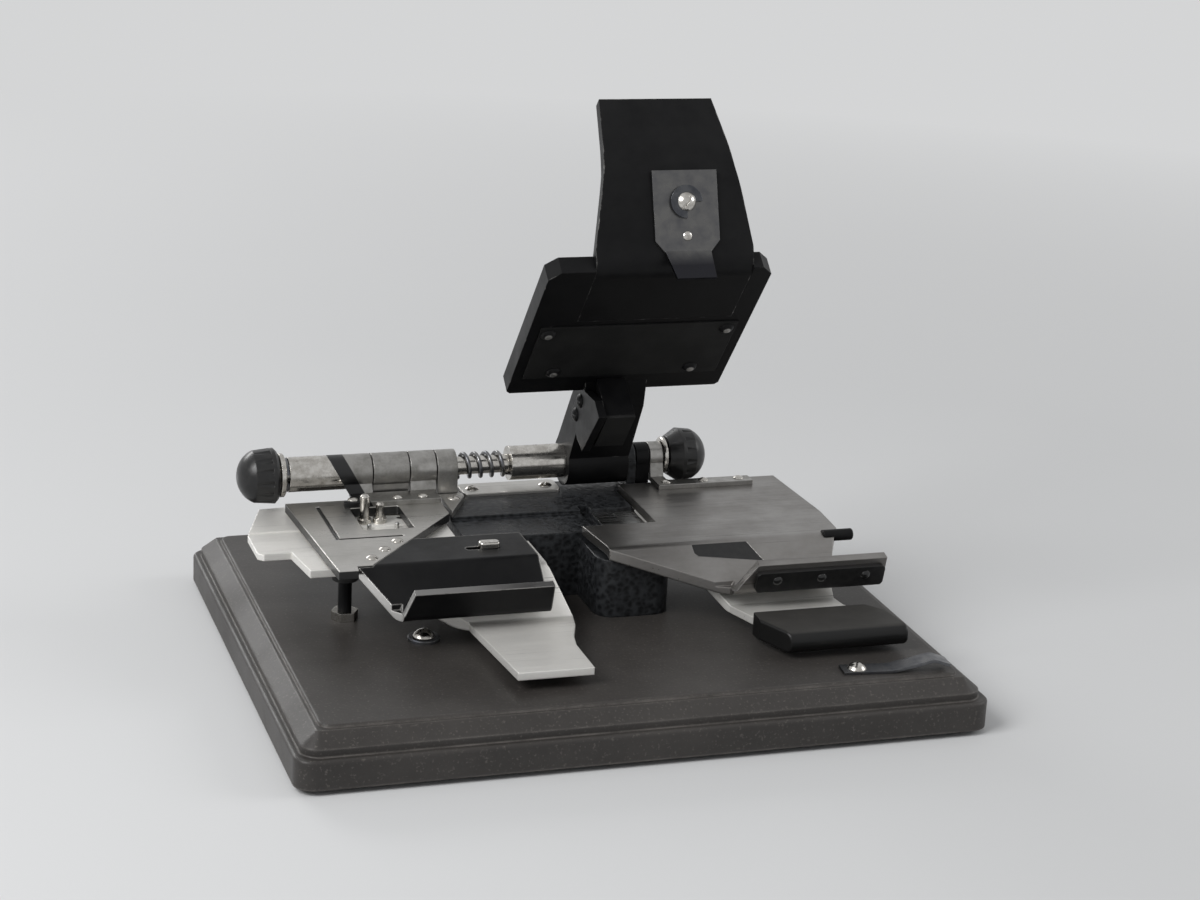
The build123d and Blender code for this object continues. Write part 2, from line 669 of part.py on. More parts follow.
def right_clamp_sheet():
    line = [(35.6, CLAMP_TOP), (-13.6, CLAMP_TOP), (-27.2, 26.6), (-29.3, 34.4)]
    sheet = bent_sheet(line, CLAMP_THICK, [CLAMP_THICK + 2.0, 0.6], (0, 80))
    outline = [
        (24.2, 36), (71, 36), (72.4, 4), (71.4, -10), (67.8, -16.6), (65.4, -22), (65, -25.8),
        (77, -25.8), (77, -40), (34.8, -40),
        (34.8, -27), (5.2, -14.4), (3.3, NOTCH_Y), (24.2, NOTCH_Y),
    ]
    sheet &= plan(outline, (10, 40))
    sheet -= front([(20, 26.4), (35.6, 26.4), (44.6, 40), (20, 40)], (-34, -25.4))
    return without_pin_room(sheet, RIGHT_PINS_X)


def slot_room():
    """A slot seen from above, its right-hand end drawn out to a point."""
    (left, right), (low, high) = SLOT
    outline = [(left, low + 0.9), (left + 0.9, low), (right, low - 2.4), (right - 3.0, high), (left, high)]
    return plan(outline, (20, 40))


def right_lip_grip():
    """A hard black strip riveted to the front of the right clamp's lip."""
    tilt = math.degrees(math.atan2(1.6, 6.0))
    strip = block((40.2, 76.4), (-1.3, 0.0), (-3.4, 2.6))
    strip = fillet(strip.edges().filter_by(Axis.Y), 1.2)
    return Pos(0, *LIP_MIDDLE) * Rot(tilt, 0, 0) * strip


LIP_MIDDLE = (-30.55, 29.6)


def lip_rivets():
    tilt = math.degrees(math.atan2(1.6, 6.0))
    head = Rot(90, 0, 0) * rivet(0, 0, (-3.0, 1.3), 0.8, 1.4, 0.6)
    return [Pos(x, *LIP_MIDDLE) * Rot(tilt, 0, 0) * head for x in (46.0, 58.5, 71.0)]


def right_clamp_stud():
    stud = crosswise((66.0, 74.6), 1.6, -13.2, CLAMP_LOW + 1.6)
    return fillet(stud.edges().filter_by(GeomType.CIRCLE).sort_by(Axis.X)[-1], 0.5)


# ---- arm, drawn closed and then raised ----------------------------------------------------
def arm_side(points, x):
    """An outline given forward of the shaft and above it, pulled along X."""
    return side([(SHAFT_Y - ahead, SHAFT_Z + above) for ahead, above in points], x)


def arm_block(x, ahead, above):
    return block(x, (SHAFT_Y - ahead[1], SHAFT_Y - ahead[0]), (SHAFT_Z + above[0], SHAFT_Z + above[1]))


def raised(part):
    return part.rotate(SHAFT, -ARM_RAISED)


PAD_RIVETS = [(-7.5, 57.0), (42.5, 57.0), (-2.0, 39.0), (37.0, 39.0)]
PAD_AHEAD = (36.4, 60.0)
PAD_DEPTH = 0.8
PAD_THICK = 1.2
HANDLE_LAP = 62.0
HANDLE_WIDTHS = (43.0, 35.8, 30.0)
SLOPE = (math.cos(math.radians(HANDLE_SLOPE)), math.sin(math.radians(HANDLE_SLOPE)))
HANDLE_KNEE = (HEAD_FRONT + 27.0 * SLOPE[0], HEAD_LOW + 27.0 * SLOPE[1])
HANDLE_END = (HANDLE_KNEE[0] + 1.6, HANDLE_KNEE[1] + 20.6)
HEAD_X = (ARM_MIDDLE - HEAD_HALF, ARM_MIDDLE + HEAD_HALF)
NECK_UNDER = [(-2, -5), (26, 0.4), (33, HEAD_LOW)]


def arm_lever():
    hub = crosswise(ARM, 7.0)
    neck = arm_side([*NECK_UNDER, (33, HEAD_HIGH), (26, HEAD_HIGH), (-2, 6.6)], ARM)
    head = arm_block(HEAD_X, (HEAD_BACK, HEAD_FRONT), (HEAD_LOW, HEAD_HIGH))
    head = chamfer(head.edges().filter_by(Axis.Z).group_by(Axis.Y)[0], 3.0)
    head = chamfer(head.edges().filter_by(Axis.Z).group_by(Axis.Y)[-1], 1.0)
    lever = hub + neck + head
    lever -= arm_block((HANDLE_MIDDLE - 21.5, HANDLE_MIDDLE + 21.5), (HANDLE_LAP, HEAD_FRONT + 1),
                       (0, HEAD_LOW + HANDLE_THICK))
    lever -= arm_block((HEAD_X[0] + 3, HEAD_X[1] - 3), PAD_AHEAD, (0, HEAD_LOW + PAD_DEPTH))
    lever -= crosswise((ARM[0] - 1, ARM[1] + 1), BORE_R)
    return lever


def arm_sleeve():
    return crosswise(SLEEVE, BARREL_R) - crosswise(SLEEVE, BORE_R)


def pressure_pad():
    return arm_block((HEAD_X[0] + 3, HEAD_X[1] - 3), PAD_AHEAD,
                     (HEAD_LOW + PAD_DEPTH - PAD_THICK, HEAD_LOW + PAD_DEPTH))


def pad_rivets():
    low = SHAFT_Z + HEAD_LOW + PAD_DEPTH - PAD_THICK
    shank = (-(SHAFT_Z + HEAD_HIGH), -low)
    head = mirror(rivet(0, 0, shank, 1.2, 2.1, 1.1), Plane.XY)
    return [Pos(x, SHAFT_Y - ahead, 0) * head for x, ahead in PAD_RIVETS]


def handle():
    line = [(SHAFT_Y - ahead, SHAFT_Z + above) for ahead, above in (
        (HANDLE_LAP, HEAD_LOW), (HEAD_FRONT, HEAD_LOW), HANDLE_KNEE, HANDLE_END)]
    strip = bent_sheet(line, -HANDLE_THICK, [6.0, 36.0], (HANDLE_MIDDLE - 21.5, HANDLE_MIDDLE + 21.5))
    low, knee, top = HANDLE_WIDTHS
    heights = (SHAFT_Z, SHAFT_Z + HEAD_LOW + 5, SHAFT_Z + HANDLE_KNEE[1], SHAFT_Z + HANDLE_END[1] + 4)
    right = list(zip((low / 2, low / 2, knee / 2, top / 2), heights))
    left = [(-x, z) for x, z in reversed(right)]
    return strip & Pos(HANDLE_MIDDLE, 0, 0) * front(right + left, (SHAFT_Y, SHAFT_Y - 130))


LEAF_MIDDLE = 24.2
LEAF_THICK = 0.8
LEAF_HALF = 8.8
LEAF_RISE = 25.6
LEAF_KNEE = 4.6
LATCH_TONGUE = 9.6
LATCH_HALF = 6.2


def leaf_spring():
    """A bright leaf on the handle's underside; its lower end stands out as a tongue.

    The tongue springs over the pedestal's front when the arm is down.
    """
    rises = (LEAF_RISE, LEAF_KNEE)
    top, knee = [(HEAD_FRONT + rise * SLOPE[0], HEAD_LOW + rise * SLOPE[1]) for rise in rises]
    tip = (knee[0] + LATCH_TONGUE * 0.1, knee[1] - LATCH_TONGUE)
    line = [(SHAFT_Y - ahead, SHAFT_Z + above) for ahead, above in (tip, knee, top)]
    strip = bent_sheet(line, LEAF_THICK, [1.4], (LEAF_MIDDLE - LEAF_HALF, LEAF_MIDDLE + LEAF_HALF))
    bend, end = SHAFT_Z + knee[1], SHAFT_Z + tip[1]
    right = [(LATCH_HALF - 1.0, end - 1), (LATCH_HALF, bend - 0.6)]
    right += [(LEAF_HALF, bend + 2.0), (LEAF_HALF, 100)]
    left = [(-x, z) for x, z in reversed(right)]
    return strip & Pos(LEAF_MIDDLE, 0, 0) * front(right + left, (SHAFT_Y, SHAFT_Y - 130))


def handle_face(rise):
    """The plane on the handle's underside, a given way up from the bend, facing out."""
    spot = (LEAF_MIDDLE, SHAFT_Y - HEAD_FRONT - rise * SLOPE[0], SHAFT_Z + HEAD_LOW + rise * SLOPE[1])
    return Plane(origin=spot, x_dir=(1, 0, 0), z_dir=(0, -SLOPE[1], -SLOPE[0]))


LEAF_SCREW_RISE = 17.4


def leaf_screws():
    """The screw with the open washer, and a smaller one below it, near the tongue."""
    place = handle_face(LEAF_SCREW_RISE).offset(LEAF_THICK + 0.9)
    low_place = handle_face(LEAF_KNEE + 4.0).offset(LEAF_THICK)
    return [
        place.location * slotted_screw(4.6, 1.4, 2.5, 1.3, 55),
        low_place.location * slotted_screw(3.4, 0.9, 1.3, 0.5, 10),
    ]


def c_washer():
    """An open washer under the leaf's screw."""
    ring = Cylinder(4.3, 0.9) - Cylinder(1.4, 0.9) - block((0, 6), (-5, -0.0), (-1, 1))
    ring += Cylinder(2.5, 0.9) - Cylinder(1.4, 0.9)
    return handle_face(LEAF_SCREW_RISE).offset(LEAF_THICK + 0.45).location * ring


def handle_screws():
    screw = slotted_screw(4.4, 1.5, 2.7, 1.6, 35)
    return [Pos(HANDLE_MIDDLE + x, SHAFT_Y - 71.0, SHAFT_Z + HEAD_HIGH) * screw for x in (-15, 15)]


BLADE_LOW = -9.4
PRESSER_X = (11.6, 19.8)
PRESSER_AHEAD = (20.4, 34.6)
FACING = 0.8


def cutter_blade():
    outline = [
        (16.2, 5.8), (28.4, 5.8), (36.2, -4.0), (36.4, BLADE_LOW), (17.6, BLADE_LOW + 1.2), (16.2, -3.6),
    ]
    return arm_side(outline, BLADE_X)


def blade_screws():
    screw = Rot(0, -90, 0) * slotted_screw(5.4, 1.2, 2.1, 1.1, 40)
    places = ((19.6, 2.6), (25.6, 3.2))
    return [Pos(BLADE_X[0], SHAFT_Y - ahead, SHAFT_Z + above) * screw for ahead, above in places]


def presser_block():
    body = arm_block(PRESSER_X, PRESSER_AHEAD, (-8.6 + FACING, 7.0))
    return body - arm_side([*NECK_UNDER, (40, HEAD_LOW), (40, 12), (-2, 12)], (0, 30))


def presser_facing():
    return arm_block(PRESSER_X, PRESSER_AHEAD, (-8.6, -8.6 + FACING))


def presser_screw():
    middle = sum(PRESSER_X) / 2
    screw = slotted_screw(15.0, 1.4, 2.6, 1.5, 80)
    return Pos(middle, SHAFT_Y - 30.2, SHAFT_Z + HEAD_HIGH) * screw


# ---- putting it together ------------------------------------------------------------------
def build_nodes():
    nodes = {}

    feet_screws = foot_screws()
    feet = rubber_feet()
    nodes["base_board"] = fitted(
        base_board(), *feet_screws, *frame_screws(), *deck_screws(), *rest_studs(), latch_screw()
    )
    nodes["rubber_feet"] = several([fitted(foot, screw) for foot, screw in zip(feet, feet_screws)])
    nodes["foot_screws"] = several(feet_screws)

    spring = arm_spring()
    nodes["centre_frame"] = fitted(
        centre_frame(), anvil_plate(), *anvil_screws(), *frame_screws(), *plate_screws(),
        left_bearing(), side_screw(), crosswise((-40, 40), SHAFT_R),
    )
    nodes["left_bearing"] = fitted(left_bearing(), crosswise((-40, 40), SHAFT_R), spring)
    nodes["frame_screws"] = several(frame_screws())
    nodes["anvil_plate"] = fitted(anvil_plate(), *anvil_screws())
    nodes["anvil_screws"] = several(anvil_screws())
    nodes["deck_washers"] = several([fitted(washer, *deck_screws()) for washer in deck_washers()])
    nodes["deck_screws"] = several([*deck_screws(), latch_screw()])
    nodes["rest_studs"] = several(rest_studs())
    nodes["lock_nuts"] = several(lock_nuts())
    nodes["rest_caps"] = several(rest_caps())
    back, beside_clamp = fitted(back_plate(), *plate_screws()), fitted(side_plate(), side_screw())
    nodes["frame_plates"] = several([back, beside_clamp])
    nodes["plate_screws"] = several([*plate_screws(), side_screw()])
    nodes["latch_spring"] = fitted(latch_spring(), latch_screw())

    nodes["hinge_shaft"] = hinge_shaft()
    nodes["shaft_washers"] = several(shaft_washers())
    nodes["shaft_clip"] = shaft_clip()
    nodes["shaft_spacer"] = shaft_spacer()
    nodes["arm_spring"] = spring
    for name, ends, outward in (("left_knob", LEFT_KNOB, -1), ("right_knob", RIGHT_KNOB, 1)):
        bush = (ends[1] - 7.0, ends[1]) if outward < 0 else (ends[0], ends[0] + 5.0)
        hole = (ends[0] + 2.6, ends[1]) if outward < 0 else (ends[0], ends[1] - 2.0)
        neck, bevel = (KNOB_R - 0.8, 0.8) if outward < 0 else (5.4, 3.4)
        shape = knob(ends, outward, neck, bevel) - crosswise(bush, 3.4) - crosswise(hole, BORE_R)
        nodes[name] = shape
        nodes[name + "_bush"] = knob_bush(bush)

    posts, left_pins = guide_posts(), film_pins(LEFT_PINS_X)
    left_rivets = bed_rivets(LEFT_KNUCKLE)
    nodes["left_bed_plate"] = fitted(left_bed_plate(), *posts, *left_pins, *left_rivets)
    nodes["left_bed_knuckle"] = fitted(bed_knuckle(LEFT_KNUCKLE, BARREL_R), *left_rivets)
    nodes["left_bed_rivets"] = several(left_rivets)
    nodes["left_film_pins"] = several(left_pins)
    nodes["guide_posts"] = several(posts)

    lifter_rivets = left_lifter_rivets()
    left_leaf_rivets = leaf_rivets((-53.2, -40.8, -33.6))
    clamp = left_clamp_plate() - left_lap()
    nodes["left_clamp_plate"] = fitted(clamp, *lifter_rivets, *left_leaf_rivets)
    leaf = clamp_leaf(LEFT_LEAF, LEFT_BARRELS, BARREL_R) - beyond_slanting_end()
    nodes["left_clamp_leaf"] = fitted(leaf, *left_leaf_rivets)
    nodes["left_clamp_sleeve"] = left_clamp_sleeve()
    nodes["left_clamp_rivets"] = several(lifter_rivets + left_leaf_rivets)
    nodes["left_lifter"] = fitted(left_lifter(), *lifter_rivets)
    nodes["pin_selector"] = pin_selector()

    right_pins, right_rivets = film_pins(RIGHT_PINS_X), bed_rivets(RIGHT_KNUCKLE)
    plate = fitted(right_bed_plate(), *right_pins, *right_rivets)
    nodes["right_bed_plate"] = plate
    nodes["right_bed_knuckle"] = fitted(bed_knuckle(RIGHT_KNUCKLE, SLIM_BARREL_R), *right_rivets)
    nodes["right_bed_rivets"] = several(right_rivets)
    nodes["right_film_pins"] = several(right_pins)
    nodes["right_tab_grip"] = fitted(right_tab_grip(), plate)

    right_leaf = (RIGHT_BARREL[0], 62.0)
    right_rivets_up = leaf_rivets((36.8, 48.0, 58.6))
    grips, stud = lip_rivets(), right_clamp_stud()
    clamp = right_clamp_sheet()
    nodes["right_slot_strip"] = clamp & slot_room()
    nodes["right_clamp_plate"] = fitted(clamp - slot_room(), *right_rivets_up, *grips, stud)
    leaf = clamp_leaf(right_leaf, [RIGHT_BARREL], SLIM_BARREL_R)
    nodes["right_clamp_leaf"] = fitted(leaf, *right_rivets_up)
    nodes["right_clamp_rivets"] = several(right_rivets_up + grips)
    nodes["right_clamp_stud"] = stud
    nodes["right_lip_grip"] = fitted(right_lip_grip(), nodes["right_clamp_plate"], *grips)

    spring_hole = crosswise((SLEEVE[0] - 1, SLEEVE[0] + 2.2), WIRE_R + 0.15, *spring_end(spring))
    blade, pads, over = blade_screws(), pad_rivets(), handle_screws()
    press, leaf_pair = presser_screw(), leaf_screws()
    strip, edge = handle(), cutter_blade()
    nodes["arm_lever"] = raised(fitted(arm_lever(), strip, edge, *blade, *pads, *over, press))
    nodes["arm_sleeve"] = raised(arm_sleeve()) - spring_hole
    nodes["pressure_pad"] = raised(fitted(pressure_pad(), *pads))
    nodes["pad_rivets"] = raised(several(pads))
    nodes["handle"] = raised(fitted(strip, *over, *leaf_pair))
    nodes["arm_screws"] = raised(several([*over, press]))
    nodes["leaf_spring"] = raised(fitted(leaf_spring(), *leaf_pair))
    nodes["leaf_screws"] = raised(several(leaf_pair))
    nodes["c_washer"] = raised(fitted(c_washer(), leaf_pair[0]))
    nodes["cutter_blade"] = raised(fitted(edge, *blade))
    nodes["blade_screws"] = raised(several(blade))
    nodes["presser_block"] = raised(fitted(presser_block(), press))
    nodes["presser_facing"] = raised(presser_facing())
    return nodes


def spring_end(spring):
    """Y and Z of the spring's right-hand end."""
    tip = spring.faces().sort_by(Axis.X)[-1].center()
    return tip.Y, tip.Z


os.makedirs("parts", exist_ok=True)
for name, shape in build_nodes().items():
    export_step(shape, f"parts/{name}.step")
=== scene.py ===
"""The film splicer, dressed: finishes for every machined, moulded and pressed piece, and its coil spring."""

import math

import bmesh
import bpy
from mathutils import Matrix, Vector


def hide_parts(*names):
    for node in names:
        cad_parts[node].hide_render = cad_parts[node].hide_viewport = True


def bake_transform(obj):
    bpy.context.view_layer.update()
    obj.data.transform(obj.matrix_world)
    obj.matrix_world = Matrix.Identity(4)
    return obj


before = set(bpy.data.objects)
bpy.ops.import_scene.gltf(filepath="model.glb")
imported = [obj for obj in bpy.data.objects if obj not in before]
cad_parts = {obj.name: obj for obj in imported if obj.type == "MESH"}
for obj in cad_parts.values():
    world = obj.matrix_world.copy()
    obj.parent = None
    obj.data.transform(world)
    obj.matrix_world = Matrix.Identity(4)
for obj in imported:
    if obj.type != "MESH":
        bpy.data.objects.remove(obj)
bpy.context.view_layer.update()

# ---- Base ---------------------------------------------------------------------------------
# One phenolic moulding, pressed in a steel tool: dark grey-brown, a little speckled by its wood
# filler, with a satin skin and edges that hands have rubbed paler.
BASE_DARK = (0.031, 0.028, 0.026, 1)
BASE_PALE = (0.045, 0.041, 0.038, 1)
BASE_FLECK = (0.085, 0.077, 0.070, 1)
BASE_RUBBED = (0.17, 0.157, 0.145, 1)


def finish(name, **sockets):
    """A new material whose shader starts from the values given."""
    material = bpy.data.materials.new(name)
    material.use_nodes = True
    shader = material.node_tree.nodes["Principled BSDF"]
    for socket, value in sockets.items():
        shader.inputs[socket.replace("_", " ")].default_value = value
    return material


def node(material, kind, **values):
    """One shader node. Lower-case names are its settings, the others its sockets."""
    made = material.node_tree.nodes.new("ShaderNode" + kind)
    for key, value in values.items():
        if key[0].islower():
            setattr(made, key, value)
        else:
            made.inputs[key.replace("_", " ")].default_value = value
    return made


def wire(material, output, socket):
    material.node_tree.links.new(output, socket)


def surface(material):
    return material.node_tree.nodes["Principled BSDF"]


def grain(material, size, stretch=(1, 1, 1), detail=4.0, roughness=0.55, turn=(0, 0, 0)):
    """Noise in the piece's own coordinates. size is one blotch in metres, stretch lengthens it."""
    place = node(material, "TexCoord")
    mapping = node(material, "Mapping", Scale=tuple(1 / (size * s) for s in stretch), Rotation=turn)
    noise = node(material, "TexNoise", Scale=1.0, Detail=detail, Roughness=roughness)
    wire(material, place.outputs["Object"], mapping.inputs["Vector"])
    wire(material, mapping.outputs["Vector"], noise.inputs["Vector"])
    return noise.outputs["Fac"]


def between(material, value, low, high, start=0.0, end=1.0):
    """The value spread from low..high to start..end, and held there outside."""
    spread = node(material, "MapRange", From_Min=low, From_Max=high, To_Min=start, To_Max=end)
    wire(material, value, spread.inputs["Value"])
    return spread.outputs["Result"]


def times(material, first, second):
    product = node(material, "Math", operation="MULTIPLY")
    wire(material, first, product.inputs[0])
    wire(material, second, product.inputs[1])
    return product.outputs["Value"]


def shade(material, share, dark, pale):
    """A colour between two, by share."""
    mix = node(material, "Mix", data_type="RGBA")
    inputs = {socket.name: socket for socket in mix.inputs if socket.type == "RGBA"}
    inputs["A"].default_value = dark
    inputs["B"].default_value = pale
    wire(material, share, mix.inputs["Factor"])
    return [out for out in mix.outputs if out.type == "RGBA"][0]


def over(material, share, below, colour):
    """One colour laid over another, by share."""
    mix = node(material, "Mix", data_type="RGBA")
    inputs = {socket.name: socket for socket in mix.inputs if socket.type == "RGBA"}
    wire(material, below, inputs["A"])
    inputs["B"].default_value = colour
    wire(material, share, mix.inputs["Factor"])
    return [out for out in mix.outputs if out.type == "RGBA"][0]


def rounded_edges(material, radius):
    """Normals that turn softly over each hard edge."""
    return node(material, "Bevel", samples=6, Radius=radius).outputs["Normal"]


def relief(material, normal, height, depth, strength=1.0):
    bump = node(material, "Bump", Distance=depth, Strength=strength)
    wire(material, height, bump.inputs["Height"])
    wire(material, normal, bump.inputs["Normal"])
    return bump.outputs["Normal"]


def worn_edges(material, radius, patchiness=0.004, low=0.35, high=0.62):
    """1 where an edge has been rubbed, broken up by noise, and 0 on the flats."""
    soft = node(material, "Bevel", samples=8, Radius=radius)
    flat = node(material, "NewGeometry")
    dot = node(material, "VectorMath", operation="DOT_PRODUCT")
    wire(material, soft.outputs["Normal"], dot.inputs[0])
    wire(material, flat.outputs["Normal"], dot.inputs[1])
    edge = between(material, dot.outputs["Value"], 0.995, 0.86)
    patches = between(material, grain(material, patchiness, detail=6, roughness=0.7), low, high)
    return times(material, edge, patches)


def facing(material, direction, low, high):
    """From 0 to 1 as a face turns towards a direction in the object."""
    place = node(material, "TexCoord")
    turn = node(material, "VectorMath", operation="DOT_PRODUCT")
    turn.inputs[1].default_value = direction
    wire(material, place.outputs["Normal"], turn.inputs[0])
    return between(material, turn.outputs["Value"], low, high)


def past(material, axis, low, high):
    """From 0 to 1 between two places along an axis of the object, in metres."""
    place, part = node(material, "TexCoord"), node(material, "SeparateXYZ")
    wire(material, place.outputs["Object"], part.inputs[0])
    return between(material, part.outputs[axis], low, high)


def dress(material, *names):
    """Puts a finish on CAD pieces."""
    for name in names:
        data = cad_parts[name].data
        data.materials.clear()
        data.materials.append(material)


phenolic = finish("phenolic_moulding", Specular_IOR_Level=0.36)
mottle = between(phenolic, grain(phenolic, 0.022, detail=8, roughness=0.7), 0.34, 0.68)
base_colour = shade(phenolic, mottle, BASE_DARK, BASE_PALE)
flecks = between(phenolic, grain(phenolic, 0.00075, detail=2), 0.60, 0.72)
base_colour = over(phenolic, flecks, base_colour, BASE_FLECK)
rubbed = worn_edges(phenolic, 0.0011, patchiness=0.007, low=0.26, high=0.70)
wire(phenolic, over(phenolic, rubbed, base_colour, BASE_RUBBED), surface(phenolic).inputs["Base Color"])
smears = grain(phenolic, 0.030, stretch=(1.8, 1, 1), detail=6)
wire(phenolic, between(phenolic, smears, 0.3, 0.7, 0.38, 0.54), surface(phenolic).inputs["Roughness"])
peel = grain(phenolic, 0.0011, detail=3)
wire(
    phenolic, relief(phenolic, rounded_edges(phenolic, 0.0007), peel, 0.00005, 0.5),
    surface(phenolic).inputs["Normal"],
)
dress(phenolic, "base_board")

# ---- Feet and the screws underneath -------------------------------------------------------
# Four rubber pucks let into the underside, each with a sunk steel screw. Four more screws come
# up through the moulding into the frame's corners.
rubber = finish("black_rubber", Roughness=0.78)
bloom = grain(rubber, 0.004, detail=8, roughness=0.7)
wire(
    rubber, shade(rubber, bloom, (0.016, 0.016, 0.016, 1), (0.040, 0.039, 0.038, 1)),
    surface(rubber).inputs["Base Color"],
)
wire(
    rubber, relief(rubber, rounded_edges(rubber, 0.0004), grain(rubber, 0.0004), 0.00008, 0.6),
    surface(rubber).inputs["Normal"],
)
dress(rubber, "rubber_feet", "rest_caps")

turned_steel = finish("turned_steel", Metallic=1.0)
tool_marks = grain(turned_steel, 0.0007, stretch=(3, 3, 0.5), detail=5)
wire(
    turned_steel, between(turned_steel, tool_marks, 0.3, 0.7, 0.26, 0.5),
    surface(turned_steel).inputs["Roughness"],
)
tarnish = between(turned_steel, grain(turned_steel, 0.003, detail=6, roughness=0.65), 0.4, 0.7)
wire(
    turned_steel, shade(turned_steel, tarnish, (0.42, 0.41, 0.395, 1), (0.24, 0.225, 0.205, 1)),
    surface(turned_steel).inputs["Base Color"],
)
wire(
    turned_steel, relief(turned_steel, rounded_edges(turned_steel, 0.00015), tool_marks, 0.00002, 0.6),
    surface(turned_steel).inputs["Normal"],
)
dress(
    turned_steel, "foot_screws", "frame_screws", "anvil_screws", "left_bed_rivets", "right_bed_rivets",
)

# ---- Centre frame -------------------------------------------------------------------------
# A zinc casting with the film's bed across its top and two lugs for the shaft. It is stoved
# near-black hammered enamel: shallow round dimples with brighter metal flake in their rims.
HAMMER_CELL = 0.0014
HAMMER_DEPTH = 0.00010
HAMMER_WOBBLE = 0.0015              # how far the dimples stray from even rows

hammered = finish("hammered_enamel", Metallic=0.2, Specular_IOR_Level=0.35)
place = node(hammered, "TexCoord")
wobble = node(hammered, "TexNoise", Scale=600.0, Detail=2.0)
shifted = node(hammered, "VectorMath", operation="MULTIPLY_ADD")
shifted.inputs[1].default_value = (HAMMER_WOBBLE,) * 3
wire(hammered, place.outputs["Object"], wobble.inputs["Vector"])
wire(hammered, wobble.outputs["Color"], shifted.inputs[0])
wire(hammered, place.outputs["Object"], shifted.inputs[2])
cells = node(hammered, "TexVoronoi", feature="SMOOTH_F1", Scale=1 / HAMMER_CELL, Smoothness=0.6)
wire(hammered, shifted.outputs["Vector"], cells.inputs["Vector"])
rims = between(hammered, cells.outputs["Distance"], 0.25, 0.75)
wire(
    hammered, shade(hammered, rims, (0.009, 0.0095, 0.0105, 1), (0.030, 0.032, 0.035, 1)),
    surface(hammered).inputs["Base Color"],
)
wire(hammered, between(hammered, rims, 0, 1, 0.32, 0.50), surface(hammered).inputs["Roughness"])
wire(
    hammered, relief(hammered, rounded_edges(hammered, 0.0006), cells.outputs["Distance"], HAMMER_DEPTH, 0.8),
    surface(hammered).inputs["Normal"],
)
dress(hammered, "centre_frame")

# ---- Anvil, shaft and film pins -----------------------------------------------------------
# Hardened steel, surface-ground along the film's path, so fine parallel lines run along X. Film
# dust dulls it in patches.
ground_steel = finish("ground_steel", Metallic=1.0)
lines = grain(ground_steel, 0.00035, stretch=(60, 1, 1), detail=3)
wire(
    ground_steel, between(ground_steel, lines, 0.25, 0.75, 0.16, 0.40),
    surface(ground_steel).inputs["Roughness"],
)
wire(
    ground_steel, relief(ground_steel, rounded_edges(ground_steel, 0.0002), lines, 0.00001, 0.6),
    surface(ground_steel).inputs["Normal"],
)
film_dust = between(ground_steel, grain(ground_steel, 0.006, detail=7, roughness=0.7), 0.45, 0.75)
wire(
    ground_steel, shade(ground_steel, film_dust, (0.46, 0.46, 0.45, 1), (0.30, 0.295, 0.28, 1)),
    surface(ground_steel).inputs["Base Color"],
)
dress(ground_steel, "anvil_plate", "hinge_shaft", "left_film_pins", "right_film_pins")

# ---- Nickelled hardware -------------------------------------------------------------------
# Screws, nuts, washers, rivets, posts, and the spacer and sleeves on the shaft: turned, then
# nickel plated, so bright and slightly warm, with darker handled patches.


def nickelled(name):
    material = finish(name, Metallic=1.0)
    handled = between(material, grain(material, 0.0024, detail=7, roughness=0.7), 0.4, 0.72)
    colour = shade(material, handled, (0.62, 0.60, 0.565, 1), (0.34, 0.32, 0.29, 1))
    wire(material, colour, surface(material).inputs["Base Color"])
    wire(material, between(material, handled, 0, 1, 0.16, 0.34), surface(material).inputs["Roughness"])
    turning = grain(material, 0.0003, stretch=(1, 30, 30), detail=2)
    wire(
        material, relief(material, rounded_edges(material, 0.0002), turning, 0.000004, 0.3),
        surface(material).inputs["Normal"],
    )
    return material, colour


nickel_bright, _ = nickelled("nickelled_fittings")
dress(
    nickel_bright, "deck_screws", "lock_nuts", "plate_screws", "shaft_washers", "shaft_spacer",
    "left_clamp_sleeve", "guide_posts", "left_clamp_rivets", "pin_selector", "arm_sleeve",
    "arm_screws", "leaf_screws",
)
# The three rivets through the lip's black grip are blackened with it.
GRIP_BACK_Y = -0.021
half_black, nickel_colour = nickelled("half_blackened_rivets")
on_plate = past(half_black, "Y", GRIP_BACK_Y, GRIP_BACK_Y + 0.001)
on_grip = between(half_black, on_plate, 1, 0)
wire(
    half_black, over(half_black, on_grip, nickel_colour, (0.008, 0.008, 0.008, 1)),
    surface(half_black).inputs["Base Color"],
)
wire(half_black, on_plate, surface(half_black).inputs["Metallic"])
dress(half_black, "right_clamp_rivets")

# ---- Rest studs, the right knuckle and the cutter -----------------------------------------
# Steel in the arm's black stoved enamel, and the right clamp's stud with it. Enamel this thin
# rubs through along the edges that are touched, which gives the black pieces bright outlines.
ENAMEL = (0.0045, 0.0045, 0.005, 1)
ENAMEL_DULL = (0.0085, 0.0085, 0.0088, 1)
BARE_STEEL = (0.40, 0.39, 0.375, 1)


def black_enamel(name, wear_width, low, high):
    """Satin black stoved enamel over steel, rubbed bright along its edges."""
    material = finish(name, Specular_IOR_Level=0.14)
    dull = between(material, grain(material, 0.012, detail=8, roughness=0.66), 0.38, 0.7)
    coat = shade(material, dull, ENAMEL, ENAMEL_DULL)
    wear = worn_edges(material, wear_width, low=low, high=high)
    colour = over(material, wear, coat, BARE_STEEL)
    wire(material, colour, surface(material).inputs["Base Color"])
    wire(material, wear, surface(material).inputs["Metallic"])
    wire(material, between(material, dull, 0, 1, 0.34, 0.50), surface(material).inputs["Roughness"])
    flow = grain(material, 0.0032, detail=2)
    wire(
        material, relief(material, rounded_edges(material, 0.0003), flow, 0.00004, 0.5),
        surface(material).inputs["Normal"],
    )
    return material, colour, wear


